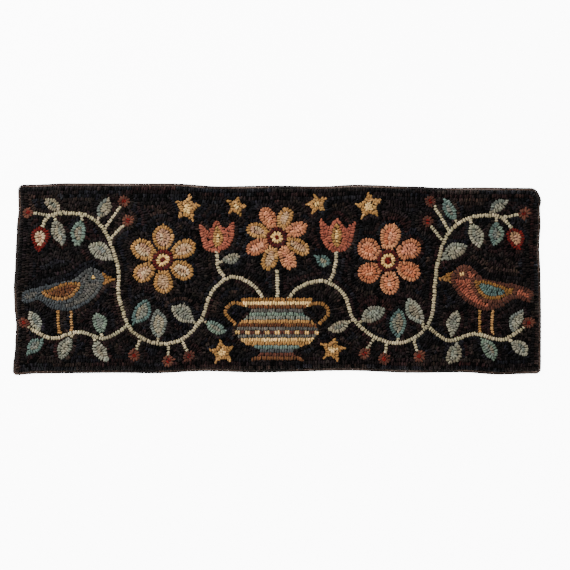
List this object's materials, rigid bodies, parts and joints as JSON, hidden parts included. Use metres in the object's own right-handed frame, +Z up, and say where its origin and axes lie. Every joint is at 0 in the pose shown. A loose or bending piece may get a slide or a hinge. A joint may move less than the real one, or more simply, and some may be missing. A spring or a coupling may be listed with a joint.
{
  "type": "hooked rug",
  "caption": "Long narrow hooked wool rug lying flat, with a face of upright wool loops on a linen foundation and a whipped yarn edge all round.",
  "frame": {"origin": "on the underside, below the centre of the rug's bounding box", "axes": "+X along the rug's length, +Y across it, +Z up out of the pile"},
  "size_m": [0.9198, 0.3356, 0.0089],
  "materials": {
    "hooked_wool": "matt felted wool strips, mostly near-black",
    "whipping_yarn": "matt wool yarn, black running into brown"
  },
  "bodies": {
    "root": {"hooked_field": "hooked_wool", "whipped_edge": "whipping_yarn"}
  },
  "joints": []
}
